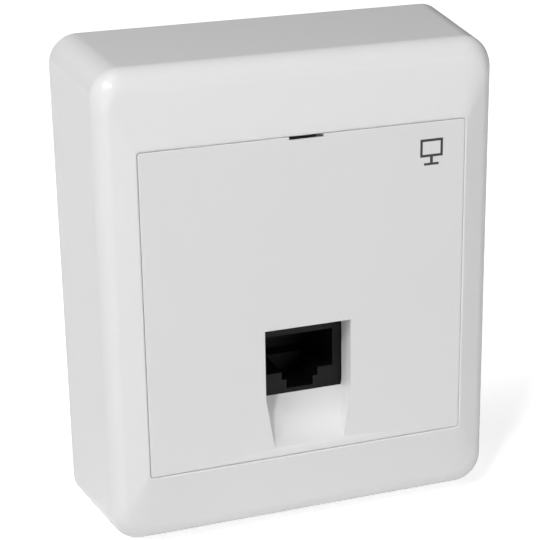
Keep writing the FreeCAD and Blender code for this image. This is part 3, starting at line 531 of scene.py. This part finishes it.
hook = new_block("hook", (HOOK_INNER, hook_face - HOOK_WALL, PLATE_FOOT - HOOK_REACH),
                 (HOOK_OUTER, hook_face, PLATE_FOOT + HOOK_SET))
pick("FACE", lambda middle, corners: all(p.z > PLATE_FOOT for p in corners))
bpy.ops.mesh.extrude_region()
move(z=HOOK_ROOT)
pick("FACE", lambda middle, corners: lies_at(hook_face)(middle, corners)
     and middle.z > PLATE_FOOT + HOOK_SET)
bpy.ops.mesh.extrude_region()
move(rise=PLATE_BACK + ROOT_OVERLAP - hook_face)
bpy.ops.object.mode_set(mode="OBJECT")
mirror(hook)
print("hooks reach %.1f mm below the plate" % HOOK_REACH)

# %% Arms
ARM_INNER, ARM_OUTER, ARM_FOOT, ARM_TOP = 13.5, 18.5, 23.1, 25.0
ARM_LENGTH, ARM_TIP = 3.4, 0.4
arm_end = PLATE_BACK - ARM_LENGTH

arm = new_block("arm", (ARM_INNER, arm_end, ARM_FOOT), (ARM_OUTER, PLATE_BACK + ROOT_OVERLAP, ARM_TOP))
pick("FACE", lies_at(arm_end))
bpy.ops.transform.resize(value=(1, 1, ARM_TIP), center_override=at(0, arm_end, (ARM_FOOT + ARM_TOP) / 2))
bpy.ops.object.mode_set(mode="OBJECT")
mirror(arm)
print("arms reach %.1f mm behind the plate" % ARM_LENGTH)

# %% [markdown]
# ## The plate: one piece
#
# Hooks and arms become part of the plate's mesh.  Each edge could be picked and bevelled, but
# a Bevel modifier with an angle limit finds every edge that is still sharp.  Its steps turn
# by up to thirty degrees, so the plate is shaded smooth up to forty.

# %% Finish the plate
def join(main, *others):
    """Makes several objects one, under the name of the first."""
    bpy.ops.object.select_all(action="DESELECT")
    for piece in (main, *others):
        piece.select_set(True)
    bpy.context.view_layer.objects.active = main
    bpy.ops.object.join()


SOFT_EDGE, PLATE_SHARP = 0.14, 40

join(plate, hook, arm)
use_modifier(plate, "BEVEL", width=SOFT_EDGE * MM, segments=3, limit_method="ANGLE",
             angle_limit=math.radians(SHARP))
finish(plate, "plate", angle=PLATE_SHARP)
use_modifier(plate, "WEIGHTED_NORMAL", keep_sharp=True)
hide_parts("insert_plate")

# %% [markdown]
# ## The printed symbol
#
# Data outlets carry a small printed symbol in a corner of the plate.  This one is a plain
# computer screen on its stand.  It could be an image on the plate, but shapes stay sharp from
# near by.  So it is a film of ink, two hundredths of a millimetre high: a frame, a stem and
# a bar, which ride on the plate so that they tilt with it.

# %% Printed symbol
INK = 0.02
SYMBOL_X = 21.6
SCREEN_HALF, SCREEN_FOOT, SCREEN_TOP, SCREEN_LINE = 2.0, 21.5, 24.5, 0.42
STEM_HALF, BAR_HALF, BAR_FOOT, BAR_TOP = 0.25, 1.3, 20.1, 20.5


def new_print(name, half, foot, top, line=None):
    """A film of ink on the plate: a bar, or a frame where its line is given."""
    film = new_block(name, (SYMBOL_X - half, DEPTH, foot), (SYMBOL_X + half, DEPTH + INK, top))
    if line:
        for level in (DEPTH, DEPTH + INK):
            pick("FACE", lies_at(level))
            bpy.ops.mesh.inset(thickness=line * MM)
        pick("FACE", lambda middle, corners: all(abs(p.x - SYMBOL_X) < half - NEAR for p in corners))
        bpy.ops.mesh.bridge_edge_loops()
    bpy.ops.object.mode_set(mode="OBJECT")
    return film


symbol = new_print("pictogram", SCREEN_HALF, SCREEN_FOOT, SCREEN_TOP, SCREEN_LINE)
stem = new_print("stem", STEM_HALF, BAR_TOP, SCREEN_FOOT)
bar = new_print("bar", BAR_HALF, BAR_FOOT, BAR_TOP)
join(symbol, stem, bar)
finish(symbol, "plate")

# %% [markdown]
# ## Finishes
#
# Everything here is moulded plastic, plated metal or glass fibre board.  A moulding has a
# very fine spark-eroded grain, and its gloss varies a little.  An image would have to be
# fitted to each piece, and noise on Object coordinates needs no fitting.  A fine noise bumps
# the surface and varies the roughness, and a broad one varies the colour slightly.  One
# function makes all finishes, with a helper for the tint and one for the grain.

# %% Tint
CLOUD_SCALE = 60


def new_noise(tree, scale, detail):
    """A noise texture that stays in place on the piece."""
    place = tree.nodes.new("ShaderNodeTexCoord")
    noise = tree.nodes.new("ShaderNodeTexNoise")
    noise.inputs["Scale"].default_value = scale
    noise.inputs["Detail"].default_value = detail
    tree.links.new(place.outputs["Object"], noise.inputs["Vector"])
    return noise


def add_tint(tree, shader, colour, mottle):
    """Gives a shader a colour that varies a little, in broad clouds."""
    # A colour mix has its two colours in sockets 6 and 7, and gives the mixed one from output 2.
    cloud = new_noise(tree, CLOUD_SCALE, 3)
    tint = tree.nodes.new("ShaderNodeMix")
    tint.data_type = "RGBA"
    tint.inputs[6].default_value = tuple(c * (1 - mottle) for c in colour) + (1,)
    tint.inputs[7].default_value = tuple(min(1, c * (1 + mottle)) for c in colour) + (1,)
    tree.links.new(cloud.outputs["Fac"], tint.inputs["Factor"])
    tree.links.new(tint.outputs[2], shader.inputs["Base Color"])


print("clouds of tint measure about %.0f mm" % (1 / CLOUD_SCALE / MM))

# %% Grain
GLOSS_SPREAD = 0.05


def add_grain(tree, shader, roughness, grain, bump):
    """Gives a shader a fine grain, in its gloss and as a bump."""
    fine = new_noise(tree, 1 / (grain * MM), 2)
    gloss = tree.nodes.new("ShaderNodeMapRange")
    gloss.inputs["To Min"].default_value = roughness - GLOSS_SPREAD
    gloss.inputs["To Max"].default_value = roughness + GLOSS_SPREAD
    relief = tree.nodes.new("ShaderNodeBump")
    relief.inputs["Strength"].default_value = bump
    relief.inputs["Distance"].default_value = grain * MM
    tree.links.new(fine.outputs["Fac"], gloss.inputs["Value"])
    tree.links.new(gloss.outputs["Result"], shader.inputs["Roughness"])
    tree.links.new(fine.outputs["Fac"], relief.inputs["Height"])
    tree.links.new(relief.outputs["Normal"], shader.inputs["Normal"])


print("gloss varies by %.2f to either side" % GLOSS_SPREAD)

# %% Finish maker
def new_finish(name, colour, roughness, grain=0.12, bump=0.02, mottle=0.02, metallic=0.0, gleam=0.5):
    """A procedural finish, with its grain in millimetres."""
    material = bpy.data.materials.new(name)
    material.use_nodes = True
    tree = material.node_tree
    shader = tree.nodes["Principled BSDF"]
    shader.inputs["Metallic"].default_value = metallic
    shader.inputs["IOR"].default_value = 1.5
    shader.inputs["Specular IOR Level"].default_value = gleam
    add_tint(tree, shader, colour, mottle)
    add_grain(tree, shader, roughness, grain, bump)
    return material


print("finish maker ready")

# %% [markdown]
# ## Plastics and ink
#
# The white of the hood and the plate is even and satin.  A stronger gleam would look newer,
# but it would wash out the shading of the bezel, so the gleam is held back.  The base and
# the terminal blocks are more matt.  The jack is deep black, so that its socket reads as a
# dark hole.

# %% Plastics and ink
white = new_finish("moulded_white", (0.82, 0.82, 0.82), 0.17, bump=0.015, mottle=0.004, gleam=0.24)
base_white = new_finish("base_white", (0.72, 0.72, 0.71), 0.45, bump=0.04, mottle=0.01)
black = new_finish("jack_black", (0.004, 0.004, 0.0044), 0.45, bump=0.05, mottle=0.1, gleam=0.22)
grey = new_finish("block_grey", (0.55, 0.55, 0.53), 0.45, bump=0.04)
ink = new_finish("printed_ink", (0.035, 0.035, 0.04), 0.5, bump=0.02, mottle=0.05)
print("plastics and ink:", [material.name for material in (white, base_white, black, grey, ink)])

# %% [markdown]
# ## Metals and board
#
# The spring contacts are gold plated, the wire terminals are tinned bronze, and the screws
# are zinc plated steel.  One metal could serve for all, but bare metal is told by its colour,
# so each has its own.  The board wears a green solder mask, a thin lacquer with a coarser
# ripple than the plastics have.

# %% Metals and board
gold = new_finish("gold_plate", (0.83, 0.57, 0.22), 0.22, metallic=1.0, bump=0.01)
tin = new_finish("tinned_bronze", (0.62, 0.60, 0.56), 0.32, metallic=1.0, bump=0.02)
steel = new_finish("zinc_steel", (0.60, 0.60, 0.62), 0.30, metallic=1.0, bump=0.02)
board_green = new_finish("solder_mask", (0.015, 0.11, 0.05), 0.30, grain=0.3, bump=0.02, mottle=0.08)
print("metals and board:", [material.name for material in (gold, tin, steel, board_green)])

# %% [markdown]
# ## Dressing the pieces
#
# Each piece gets one finish all over, as a moulded or plated part has.  The hood, the plate
# and the symbol are this script's own objects, and the others are nodes of the frame.  Every
# node could be named, but the repeated ones share the start of their names, so a loop finds
# them.

# %% Dress the pieces
def coat(name, material):
    """Gives a whole piece one finish."""
    mesh = nodes[name].data if name in nodes else bpy.data.objects[name].data
    mesh.materials.clear()
    mesh.materials.append(material)


coat("hood", white)
coat("front_plate", white)
coat("pictogram", ink)
coat("wall_base", base_white)
coat("circuit_board", board_green)
coat("jack_housing", black)
coat("contact_carrier", black)
for node in nodes:
    if node.startswith("contact_") and node != "contact_carrier":
        coat(node, gold)
    elif node.startswith("idc_block"):
        coat(node, grey)
    elif node.startswith("idc_"):
        coat(node, tin)
    elif "screw" in node:
        coat(node, steel)
for material in (white, ink, base_white, board_green, black, gold, grey, tin, steel):
    print("pieces in %s: %d" % (material.name, material.users))

# %% [markdown]
# ## The floor
#
# A pale floor runs far out behind the box, so that no horizon shows.  It could be lit until
# it is white, but the box would then burn out too.  So it glows where the camera sees it,
# and more faintly in the box's reflections, and it still takes the box's soft shadow.

# %% Floor
FLOOR_SIZE = 8
foot_of_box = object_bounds()[0][2]

bpy.ops.object.select_all(action="DESELECT")
bpy.ops.mesh.primitive_grid_add(size=FLOOR_SIZE, x_subdivisions=8, y_subdivisions=8,
                                location=(0, 0, foot_of_box))
floor = bpy.context.object
floor.name = "floor"
bpy.ops.object.transform_apply()
print("floor lies %.1f mm below the middle of the box" % (-foot_of_box / MM))

# %% Floor finish
GLOW, GLOSSY_SHARE = 0.76, 0.4

paper = bpy.data.materials.new("pale_floor")
paper.use_nodes = True
tree = paper.node_tree
sheet = tree.nodes["Principled BSDF"]
sheet.inputs["Base Color"].default_value = (0.86, 0.86, 0.86, 1)
sheet.inputs["Roughness"].default_value = 0.8
path = tree.nodes.new("ShaderNodeLightPath")
glow = tree.nodes.new("ShaderNodeMath")
glow.operation = "MULTIPLY_ADD"
tree.links.new(path.outputs["Is Glossy Ray"], glow.inputs[0])
glow.inputs[1].default_value = GLOSSY_SHARE
tree.links.new(path.outputs["Is Camera Ray"], glow.inputs[2])
tree.links.new(glow.outputs[0], sheet.inputs["Emission Strength"])
sheet.inputs["Emission Color"].default_value = (GLOW, GLOW, GLOW, 1)
floor.data.materials.append(paper)
print("floor glows by %.2f for the camera" % GLOW)

# %% [markdown]
# ## Lamps
#
# The light is that of a small studio.  A small key lamp stands to the left and above: it
# makes the bright point on the hood's upper left corner.  Two broader lamps further round
# light the left wall and the top, three weak ones at the front even out the plate and reach
# into the jack's recess, and one at the back shows the base when the box is seen from behind.
# Each is given by its bearing round the box, which is easier to change than a place and
# three angles.

# %% Lamps
LAMP_DISTANCE = 1.2


def new_lamp(name, azimuth, elevation, size, power):
    """A square area lamp at a bearing round the box, aimed at the middle of the box."""
    target = at(0, DEPTH / 2, 0)
    turn, lift = math.radians(azimuth), math.radians(elevation)
    bearing = Vector((math.sin(turn) * math.cos(lift), -math.cos(turn) * math.cos(lift), math.sin(lift)))
    bpy.ops.object.light_add(type="AREA", location=target + bearing * LAMP_DISTANCE)
    lamp = bpy.context.object
    lamp.name = name
    lamp.data.size = size
    lamp.data.energy = power
    lamp.rotation_mode = "QUATERNION"
    lamp.rotation_quaternion = (-bearing).to_track_quat("-Z", "Y")
    return lamp


lamps = [
    new_lamp("key", azimuth=-40, elevation=46, size=0.12, power=4.4),
    new_lamp("side", azimuth=-70, elevation=46, size=0.4, power=5.2),
    new_lamp("high", azimuth=-70, elevation=68, size=0.4, power=2.0),
    new_lamp("front_left", azimuth=-40, elevation=10, size=0.3, power=0.95),
    new_lamp("front_right", azimuth=20, elevation=10, size=0.5, power=1.9),
    new_lamp("fill", azimuth=50, elevation=10, size=0.5, power=1.35),
    new_lamp("back", azimuth=180, elevation=4, size=0.16, power=3.0),
]
print("lamps:", len(lamps), "with %.1f W in all" % sum(lamp.data.energy for lamp in lamps))

# %% [markdown]
# ## World and view
#
# A faint grey world keeps the deepest shadows from going black.  A filmic view would bend
# the whites towards grey, and the standard one shows a colour as it is written.

# %% World and view
AMBIENT = 0.033

world = bpy.data.worlds.new("studio")
world.use_nodes = True
world.node_tree.nodes["Background"].inputs["Color"].default_value = (AMBIENT, AMBIENT, AMBIENT, 1)
bpy.context.scene.world = world
bpy.context.scene.view_settings.view_transform = "Standard"
print("world:", world.name, "at a grey of %.3f" % AMBIENT)
